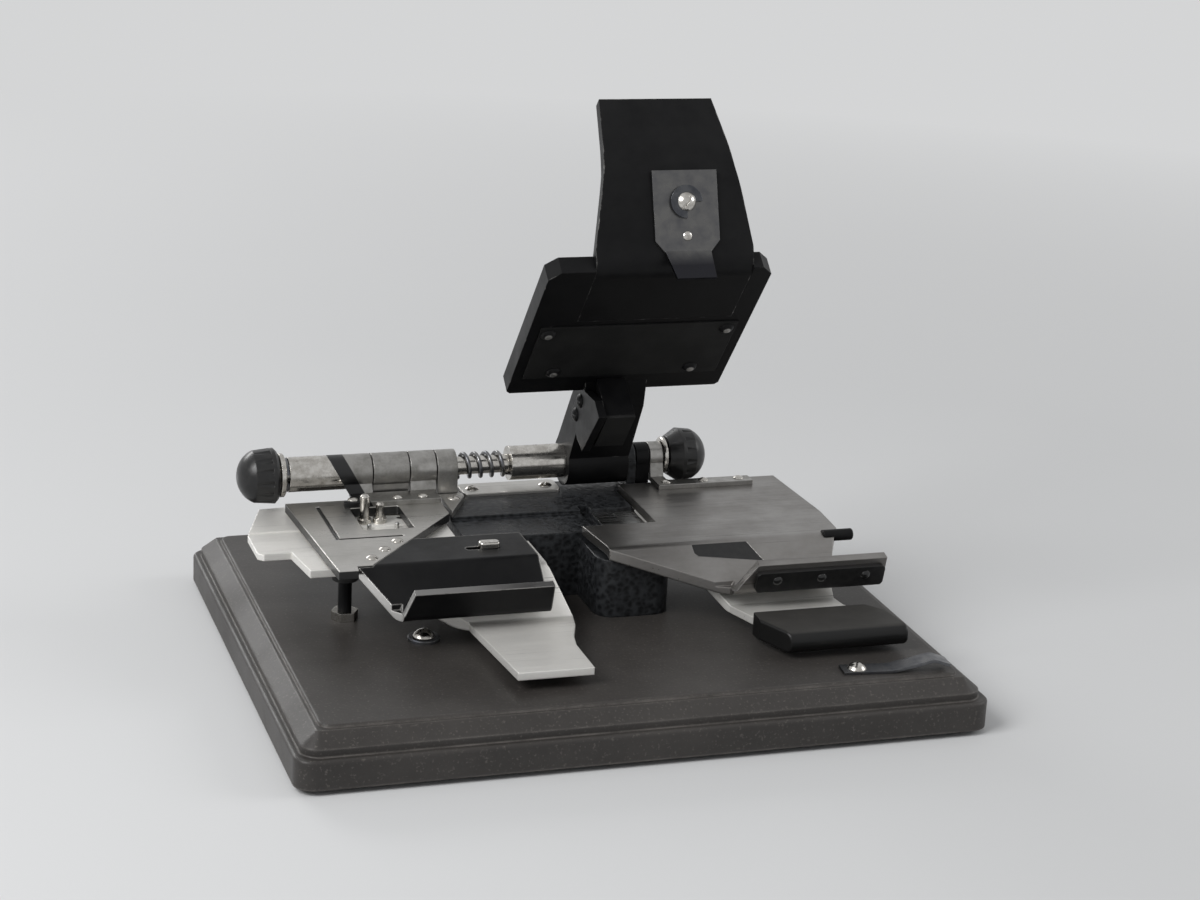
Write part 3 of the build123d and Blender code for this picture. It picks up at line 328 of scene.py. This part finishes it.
stud_enamel_and_painted_shade = black_enamel("stud_enamel_and_painted_shade", 0.0003, 0.55, 0.8)[0]
# On the right knuckle this black is painted shade, for the shadow the arm's wide plate casts on it.
dress(stud_enamel_and_painted_shade, "rest_studs", "right_bed_knuckle", "right_clamp_stud", "cutter_blade", "blade_screws")
# The pad's rivets are blackened too, and rubbed bright on the crowns.
PAD_FACES = (0, -0.766, -0.643)
rivet_black, rivet_colour, _ = black_enamel("rivet_enamel", 0.0002, 0.7, 0.9)
crown = facing(rivet_black, PAD_FACES, 0.90, 0.97)
wire(
    rivet_black, over(rivet_black, crown, rivet_colour, (0.50, 0.49, 0.47, 1)),
    surface(rivet_black).inputs["Base Color"],
)
wire(rivet_black, crown, surface(rivet_black).inputs["Metallic"])
dress(rivet_black, "pad_rivets")

# ---- Sheet-metal plates -------------------------------------------------------------------
# Bed plates, clamp plates and the frame's strips are blanked from steel sheet and nickel plated.
# The rolling and polishing marks run along the sheet, and years of film and fingers have left
# hazy patches and a few long scratches.


def nickelled_sheet(name, clean, hazy, smooth, rough, metallic=1.0):
    material = finish(name, Metallic=metallic)
    streaks = grain(material, 0.00045, stretch=(45, 1, 1), detail=4)
    haze = grain(material, 0.016, stretch=(1.4, 1, 1), detail=8, roughness=0.64)
    scratch_bed = grain(material, 0.0011, stretch=(40, 0.22, 1), detail=1, turn=(0, 0, 0.42))
    scratches = between(material, scratch_bed, 0.70, 0.76)
    worn_haze = between(material, haze, 0.36, 0.68)
    colour = shade(material, worn_haze, clean, hazy)
    scratched = [0.5 * part for part in hazy[:3]] + [1]
    colour = over(material, scratches, colour, scratched)
    wire(material, colour, surface(material).inputs["Base Color"])
    brushing = between(material, streaks, 0.25, 0.75, 0.8, 1.2)
    wire(
        material, times(material, between(material, worn_haze, 0, 1, smooth, rough), brushing),
        surface(material).inputs["Roughness"],
    )
    wire(
        material, relief(material, rounded_edges(material, 0.0004), streaks, 0.000008, 0.5),
        surface(material).inputs["Normal"],
    )
    return material, colour


# The left bed plate is satin and the brightest plate, partly painted light:
# coloured paler for the bright reflection on its lift tab.
satin_and_painted_light_sheet, _ = nickelled_sheet(
    "satin_nickel_sheet_painted_light", (0.86, 0.845, 0.81, 1), (0.74, 0.725, 0.69, 1), 0.42, 0.56, metallic=0.55,
)
dress(satin_and_painted_light_sheet, "left_bed_plate")
clean_sheet, _ = nickelled_sheet(
    "clean_nickel_sheet", (0.58, 0.565, 0.54, 1), (0.42, 0.41, 0.385, 1), 0.28, 0.42,
)
dress(clean_sheet, "frame_plates")
# Painted shade: the right clamp's plate is the same nickel coloured darker, for the dark reflection on it.
painted_shade_sheet, _ = nickelled_sheet(
    "painted_shade_nickel_sheet", (0.30, 0.29, 0.28, 1), (0.21, 0.20, 0.19, 1), 0.32, 0.46,
)
dress(painted_shade_sheet, "right_clamp_plate")
# Painted light: the right bed plate is paler, less metallic nickel, to lift it in the lip's shade.
painted_light_sheet, _ = nickelled_sheet(
    "painted_light_nickel_sheet", (0.72, 0.71, 0.68, 1), (0.58, 0.57, 0.54, 1), 0.42, 0.56, metallic=0.45,
)
dress(painted_light_sheet, "right_bed_plate")
# Painted shade: the left clamp's plate is coloured black on its side faces and in its groove, below its top.
CLAMP_TOP = 0.0348
shade_edged_sheet, plate_colour = nickelled_sheet(
    "edged_nickel_sheet", (0.58, 0.565, 0.54, 1), (0.42, 0.41, 0.385, 1), 0.28, 0.42,
)
below_top = past(shade_edged_sheet, "Z", CLAMP_TOP - 0.0001, CLAMP_TOP - 0.00025)
painted_shade = times(shade_edged_sheet, below_top, facing(shade_edged_sheet, (0, 0, -1), 0.7, 0.4))
wire(
    shade_edged_sheet, over(shade_edged_sheet, painted_shade, plate_colour, (0.012, 0.012, 0.012, 1)),
    surface(shade_edged_sheet).inputs["Base Color"],
)
wire(shade_edged_sheet, between(shade_edged_sheet, painted_shade, 0, 1, 1, 0), surface(shade_edged_sheet).inputs["Metallic"])
dress(shade_edged_sheet, "left_clamp_plate")

# ---- Springs and clips --------------------------------------------------------------------
# Hardened spring steel, blued by its heat treatment and rubbed back to grey where it slides: the
# arm's leaf, the latch leaf, the washers, the shaft's open clip and the coil spring's wire.


def sprung_steel(name, grey, blue):
    material = finish(name, Metallic=1.0)
    blueing = between(material, grain(material, 0.0035, detail=6, roughness=0.62), 0.35, 0.68)
    colour = shade(material, blueing, grey, blue)
    wire(material, colour, surface(material).inputs["Base Color"])
    wire(material, between(material, blueing, 0, 1, 0.26, 0.42), surface(material).inputs["Roughness"])
    wire(
        material, relief(material, rounded_edges(material, 0.00015), grain(material, 0.0005), 0.00001, 0.5),
        surface(material).inputs["Normal"],
    )
    return material, colour


spring_steel, _ = sprung_steel("spring_steel", (0.24, 0.238, 0.235, 1), (0.10, 0.105, 0.12, 1))
dress(spring_steel, "deck_washers", "shaft_clip")
blued_steel, _ = sprung_steel("blued_steel", (0.105, 0.108, 0.115, 1), (0.035, 0.038, 0.048, 1))
dress(blued_steel, "c_washer")
latch_steel, _ = sprung_steel("latch_steel", (0.17, 0.17, 0.175, 1), (0.085, 0.09, 0.10, 1))
dress(latch_steel, "latch_spring")
# The arm's leaf is coloured darker towards the tongue at its lower end.
LEAF_BEND_Z = 0.1132
leaf_steel, leaf_colour = sprung_steel("leaf_steel", (0.155, 0.153, 0.15, 1), (0.105, 0.105, 0.11, 1))
towards_tongue = past(leaf_steel, "Z", LEAF_BEND_Z, LEAF_BEND_Z - 0.0030)
wire(
    leaf_steel, over(leaf_steel, towards_tongue, leaf_colour, (0.030, 0.030, 0.035, 1)),
    surface(leaf_steel).inputs["Base Color"],
)
dress(leaf_steel, "leaf_spring")

# ---- Arm spring ---------------------------------------------------------------------------
# A torsion spring of 1.1 mm wire wound round the shaft's spacer. One straight end sits in the
# left bearing and the other in the arm's sleeve, so it winds up as the arm comes down.
SHAFT_LINE = Vector((0, 0.041, 0.041))
WIRE_R = 0.00055
COIL_R = 0.00325
COIL_PITCH = 0.0032
COIL_TURNS = 4
STEPS_PER_TURN = 40
COIL_START_X = -0.02125
CORNER_R = 0.00142
LEG_START_X = -0.0244
LEG_END_X = -0.0052
LEAD = math.atan2(COIL_PITCH, 2 * math.pi * COIL_R)
CORNER_TURN = math.pi / 2 - LEAD


def next_ring(geometry):
    """What a spin or extrude leaves at its open end, ready for the next one."""
    return [item for item in geometry if isinstance(item, (bmesh.types.BMVert, bmesh.types.BMEdge))]


coil_foot = Vector((COIL_START_X, SHAFT_LINE.y, SHAFT_LINE.z - COIL_R))
corner_run = Vector((math.sin(CORNER_TURN), 1 - math.cos(CORNER_TURN), 0)) * CORNER_R
corner_start = coil_foot - corner_run
spring_mesh = bmesh.new()
facing_x = Matrix.Rotation(math.pi / 2, 4, "Y")
bmesh.ops.create_circle(
    spring_mesh, segments=14, radius=WIRE_R, cap_ends=False,
    matrix=Matrix.Translation((LEG_START_X, corner_start.y, corner_start.z)) @ facing_x,
)
ring = spring_mesh.edges[:]
out = bmesh.ops.extrude_edge_only(spring_mesh, edges=ring)["geom"]
ring_verts = [v for v in out if isinstance(v, bmesh.types.BMVert)]
bmesh.ops.translate(spring_mesh, verts=ring_verts, vec=(corner_start.x - LEG_START_X, 0, 0))
last = next_ring(out)
last = bmesh.ops.spin(
    spring_mesh, geom=last, cent=corner_start + Vector((0, CORNER_R, 0)), axis=(0, 0, 1),
    angle=CORNER_TURN, steps=10, use_merge=False,
)["geom_last"]
last = bmesh.ops.spin(
    spring_mesh, geom=last, cent=SHAFT_LINE, axis=(1, 0, 0), angle=2 * math.pi * COIL_TURNS,
    steps=STEPS_PER_TURN * COIL_TURNS, dvec=(COIL_PITCH / STEPS_PER_TURN, 0, 0), use_merge=False,
)["geom_last"]
coil_head = coil_foot + Vector((COIL_PITCH * COIL_TURNS, 0, 0))
last = bmesh.ops.spin(
    spring_mesh, geom=last, cent=coil_head + Vector((math.cos(LEAD), -math.sin(LEAD), 0)) * CORNER_R,
    axis=(0, 0, 1), angle=-CORNER_TURN, steps=10, use_merge=False,
)["geom_last"]
ring = [edge for edge in last if isinstance(edge, bmesh.types.BMEdge)]
out = bmesh.ops.extrude_edge_only(spring_mesh, edges=ring)["geom"]
ring_verts = [v for v in out if isinstance(v, bmesh.types.BMVert)]
reach = LEG_END_X - sum(v.co.x for v in ring_verts) / len(ring_verts)
bmesh.ops.translate(spring_mesh, verts=ring_verts, vec=(reach, 0, 0))
bmesh.ops.remove_doubles(spring_mesh, verts=spring_mesh.verts[:], dist=1e-6)
bmesh.ops.holes_fill(spring_mesh, edges=spring_mesh.edges[:], sides=0)
bmesh.ops.recalc_face_normals(spring_mesh, faces=spring_mesh.faces[:])


def piece_from(shape, name, material):
    """The finished mesh as an object at the origin, smooth-shaded but for its sharp edges."""
    data = bpy.data.meshes.new(name)
    shape.to_mesh(data)
    shape.free()
    data.shade_smooth()
    data.set_sharp_from_angle(angle=math.radians(38))
    data.materials.append(material)
    made = bpy.data.objects.new(name, data)
    bpy.context.scene.collection.objects.link(made)
    return made


coil_spring = piece_from(spring_mesh, "arm_coil_spring", spring_steel)
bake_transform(coil_spring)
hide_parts("arm_spring")

# ---- Knobs --------------------------------------------------------------------------------
# Black phenolic, moulded over brass bushes that run on the shaft. The flutes are polished by
# fingers and the hollows between them hold dust.
knob_black = finish("knob_moulding", Specular_IOR_Level=0.45)
dust = between(knob_black, grain(knob_black, 0.0016, detail=5, roughness=0.6), 0.42, 0.75)
wire(
    knob_black, shade(knob_black, dust, (0.007, 0.007, 0.0073, 1), (0.014, 0.0135, 0.013, 1)),
    surface(knob_black).inputs["Base Color"],
)
wire(knob_black, between(knob_black, dust, 0, 1, 0.30, 0.42), surface(knob_black).inputs["Roughness"])
pores = grain(knob_black, 0.0012)
wire(
    knob_black, relief(knob_black, rounded_edges(knob_black, 0.0003), pores, 0.00003, 0.5),
    surface(knob_black).inputs["Normal"],
)
dress(knob_black, "left_knob", "right_knob", "right_lip_grip", "right_slot_strip")
# The tab's grip is the same moulding, with painted light: its top is coloured paler, in patches, as if lit.
grip_black = finish("tab_grip_moulding", Specular_IOR_Level=0.3)
painted_lit_top = facing(grip_black, (0, 0, 1), 0.80, 0.97)
top_light_patches = between(grip_black, grain(grip_black, 0.004, detail=6), 0.2, 0.8, 0.6, 1.0)
painted_top_light = times(grip_black, painted_lit_top, top_light_patches)
wire(
    grip_black, shade(grip_black, painted_top_light, (0.006, 0.006, 0.006, 1), (0.040, 0.038, 0.035, 1)),
    surface(grip_black).inputs["Base Color"],
)
wire(grip_black, between(grip_black, painted_lit_top, 0, 1, 0.36, 0.62), surface(grip_black).inputs["Roughness"])
pores = grain(grip_black, 0.0012)
wire(
    grip_black, relief(grip_black, rounded_edges(grip_black, 0.0003), pores, 0.00003, 0.5),
    surface(grip_black).inputs["Normal"],
)
dress(grip_black, "right_tab_grip")

brass = finish("turned_brass", Metallic=1.0)
brass_tarnish = between(brass, grain(brass, 0.002, detail=6), 0.38, 0.7)
wire(
    brass, shade(brass, brass_tarnish, (0.72, 0.50, 0.22, 1), (0.36, 0.24, 0.11, 1)),
    surface(brass).inputs["Base Color"],
)
wire(brass, between(brass, brass_tarnish, 0, 1, 0.2, 0.45), surface(brass).inputs["Roughness"])
dress(brass, "left_knob_bush", "right_knob_bush")

# ---- Hinge knuckles and leaves ------------------------------------------------------------
# Bent steel knuckles and leaves, left duller than the plates they are riveted to. The left leaf is cut aslant
# at its outer end, and the last few millimetres beside the cut are painted shadow: coloured black, not metal,
# for the shade on its cut end.
LEFT_CUT = (-0.0586, 0.046)         # X and Z where the cut starts, at the barrel's top
CUT_SLOPE = 0.006 / 0.0108
PAINTED_SHADOW_WIDTH = 0.0044
SHADOW_EDGE_BLUR = 0.00008


def bent_steel(name):
    material = finish(name, Metallic=1.0)
    scale_marks = between(material, grain(material, 0.005, detail=8, roughness=0.68), 0.36, 0.68)
    colour = shade(material, scale_marks, (0.40, 0.39, 0.375, 1), (0.22, 0.215, 0.20, 1))
    wire(material, colour, surface(material).inputs["Base Color"])
    wire(material, between(material, scale_marks, 0, 1, 0.28, 0.5), surface(material).inputs["Roughness"])
    drawn = grain(material, 0.0005, stretch=(16, 1, 1), detail=3)
    wire(
        material, relief(material, rounded_edges(material, 0.0003), drawn, 0.00002, 0.6),
        surface(material).inputs["Normal"],
    )
    return material, colour


hinge_steel, _ = bent_steel("hinge_steel")
dress(hinge_steel, "left_bearing", "left_bed_knuckle", "right_clamp_leaf")
left_leaf_steel, leaf_grey = bent_steel("left_leaf_steel")
spot = node(left_leaf_steel, "TexCoord")
along_cut = node(left_leaf_steel, "VectorMath", operation="DOT_PRODUCT")
along_cut.inputs[1].default_value = (1, 0, CUT_SLOPE)
wire(left_leaf_steel, spot.outputs["Object"], along_cut.inputs[0])
cut = LEFT_CUT[0] + CUT_SLOPE * LEFT_CUT[1]
shadow_band_edge = cut + PAINTED_SHADOW_WIDTH
outside_shadow_band = between(
    left_leaf_steel, along_cut.outputs["Value"], shadow_band_edge - SHADOW_EDGE_BLUR, shadow_band_edge + SHADOW_EDGE_BLUR,
)
# Painted shadow: black inside the band beside the cut, the leaf's own steel outside it.
wire(
    left_leaf_steel, over(left_leaf_steel, between(left_leaf_steel, outside_shadow_band, 1, 0), leaf_grey, ENAMEL),
    surface(left_leaf_steel).inputs["Base Color"],
)
wire(left_leaf_steel, outside_shadow_band, surface(left_leaf_steel).inputs["Metallic"])
dress(left_leaf_steel, "left_clamp_leaf")

# ---- Black lifter on the left clamp -------------------------------------------------------
# Pressed steel strip in black enamel, sheared after it was enamelled, so its cut ends are bare.
# It is lifted by its turned-up lip, and fingers have rubbed the lip's top down to the steel.
LIP_BACK_Y = -0.0262
LIP_TOP_Z = 0.0306
lifter_enamel, lifter_colour, lifter_wear = black_enamel("lifter_enamel", 0.0006, 0.30, 0.52)
sheared = facing(lifter_enamel, (-1, 0, 0), 0.5, 0.8)
upwards = facing(lifter_enamel, (0, 0, 1), 0.55, 0.75)
high_up = times(lifter_enamel, past(lifter_enamel, "Z", LIP_TOP_Z, LIP_TOP_Z + 0.0006), upwards)
lip_top = times(lifter_enamel, past(lifter_enamel, "Y", LIP_BACK_Y, LIP_BACK_Y - 0.0006), high_up)
either = node(lifter_enamel, "Math", operation="MAXIMUM")
wire(lifter_enamel, sheared, either.inputs[0])
wire(lifter_enamel, lip_top, either.inputs[1])
bare_steel = either.outputs["Value"]
rubbed_lip = over(lifter_enamel, lip_top, lifter_colour, (0.26, 0.255, 0.25, 1))
wire(
    lifter_enamel, over(lifter_enamel, sheared, rubbed_lip, (0.70, 0.69, 0.67, 1)),
    surface(lifter_enamel).inputs["Base Color"],
)
metal = node(lifter_enamel, "Math", operation="MAXIMUM")
wire(lifter_enamel, bare_steel, metal.inputs[0])
wire(lifter_enamel, lifter_wear, metal.inputs[1])
wire(lifter_enamel, metal.outputs["Value"], surface(lifter_enamel).inputs["Metallic"])
dress(lifter_enamel, "left_lifter")

# ---- Arm, handle and presser --------------------------------------------------------------
# The arm is a cast lever with a wide plate, and the handle is bent strip screwed on under its
# front edge. Both are black enamel, worn at the handle's edges and the plate's corners.
arm_enamel = black_enamel("arm_enamel", 0.0004, 0.56, 0.80)[0]
dress(arm_enamel, "arm_lever", "presser_block")
handle_enamel = black_enamel("handle_enamel", 0.0005, 0.50, 0.74)[0]
dress(handle_enamel, "handle")

# ---- Pads ---------------------------------------------------------------------------------
# Firm black sheet riveted under the wide plate, and a strip of the same under the presser.
pad_black = finish("firm_black_sheet", Roughness=0.62, Specular_IOR_Level=0.25)
weave = grain(pad_black, 0.0005, detail=3)
rubbing = between(pad_black, grain(pad_black, 0.009, detail=7), 0.38, 0.7)
wire(
    pad_black, shade(pad_black, rubbing, (0.006, 0.006, 0.006, 1), (0.013, 0.013, 0.0128, 1)),
    surface(pad_black).inputs["Base Color"],
)
wire(
    pad_black, relief(pad_black, rounded_edges(pad_black, 0.0003), weave, 0.00005, 0.6),
    surface(pad_black).inputs["Normal"],
)
dress(pad_black, "pressure_pad", "presser_facing")

# ---- Floor, light and camera --------------------------------------------------------------
# A pale bench top that runs into a pale backdrop, soft boxes, and the camera where the picture
# was taken from.
BACKDROP = (0.66, 0.665, 0.67, 1)
BENCH_NEAR = 0.30                   # the bench keeps its own shading this far from the middle
BENCH_FAR = 0.85                    # and shows the backdrop's colour from here on
ROOM_LIGHT = 0.55

floor_mesh = bmesh.new()
bmesh.ops.create_grid(floor_mesh, x_segments=1, y_segments=1, size=6.0)
bench_paint = finish("bench_top", Roughness=0.8)
wire(
    bench_paint, shade(bench_paint, grain(bench_paint, 0.2, detail=3), BACKDROP, (0.64, 0.645, 0.65, 1)),
    surface(bench_paint).inputs["Base Color"],
)


def seen_directly(material):
    """1 for camera rays and for rays from metal or glass, which see the backdrop; 0 for light."""
    path = node(material, "LightPath")
    either = node(material, "Math", operation="MAXIMUM")
    any_of = node(material, "Math", operation="MAXIMUM")
    wire(material, path.outputs["Is Camera Ray"], either.inputs[0])
    wire(material, path.outputs["Is Glossy Ray"], either.inputs[1])
    wire(material, either.outputs["Value"], any_of.inputs[0])
    wire(material, path.outputs["Is Transmission Ray"], any_of.inputs[1])
    return any_of.outputs["Value"]


spot = node(bench_paint, "TexCoord")
away = node(bench_paint, "VectorMath", operation="LENGTH")
wire(bench_paint, spot.outputs["Object"], away.inputs[0])
distant = between(bench_paint, away.outputs["Value"], BENCH_NEAR, BENCH_FAR)
haze_glow = node(bench_paint, "Emission", Color=BACKDROP, Strength=1.0)
blend = node(bench_paint, "MixShader")
wire(bench_paint, times(bench_paint, distant, seen_directly(bench_paint)), blend.inputs[0])
wire(bench_paint, surface(bench_paint).outputs["BSDF"], blend.inputs[1])
wire(bench_paint, haze_glow.outputs["Emission"], blend.inputs[2])
wire(bench_paint, blend.outputs["Shader"], bench_paint.node_tree.nodes["Material Output"].inputs["Surface"])
floor = piece_from(floor_mesh, "bench_top", bench_paint)

world = bpy.data.worlds.new("studio")
bpy.context.scene.world = world
world.use_nodes = True
sky = world.node_tree.nodes["Background"]
sky.inputs["Color"].default_value = BACKDROP
wire(world, between(world, seen_directly(world), 0, 1, ROOM_LIGHT, 1.0), sky.inputs["Strength"])


def soft_box(name, spot, size, power, aim=(0, 0, 0.04)):
    lamp = bpy.data.lights.new(name, "AREA")
    lamp.shape = "RECTANGLE"
    lamp.size, lamp.size_y = size
    lamp.energy = power
    holder = bpy.data.objects.new(name, lamp)
    holder.location = spot
    holder.rotation_euler = (Vector(aim) - Vector(spot)).to_track_quat("-Z", "Y").to_euler()
    bpy.context.scene.collection.objects.link(holder)


soft_box("key_box", (-0.70, -0.30, 0.70), (0.5, 0.5), 7.0)
soft_box("fill_box", (0.95, -0.20, 0.55), (0.5, 0.4), 2.4)
soft_box("back_box", (-0.36, 0.95, 0.44), (0.5, 0.25), 2.6)

camera_data = bpy.data.cameras.new("camera")
camera_data.sensor_width = 36.0
camera_data.lens = 78.0
camera_data.clip_start = 0.01
camera = bpy.data.objects.new("camera", camera_data)
right, up, forward = (0.94979, -0.30903, 0.04893), (0.05, 0.30429, 0.95127), (0.30886, 0.90106, -0.30446)
turned = Matrix((right, up, [-part for part in forward])).transposed().to_4x4()
camera.matrix_world = Matrix.Translation((-0.2064, -0.6196, 0.2666)) @ turned
bpy.context.scene.collection.objects.link(camera)
bpy.context.scene.camera = camera
bpy.context.scene.view_settings.view_transform = "Standard"
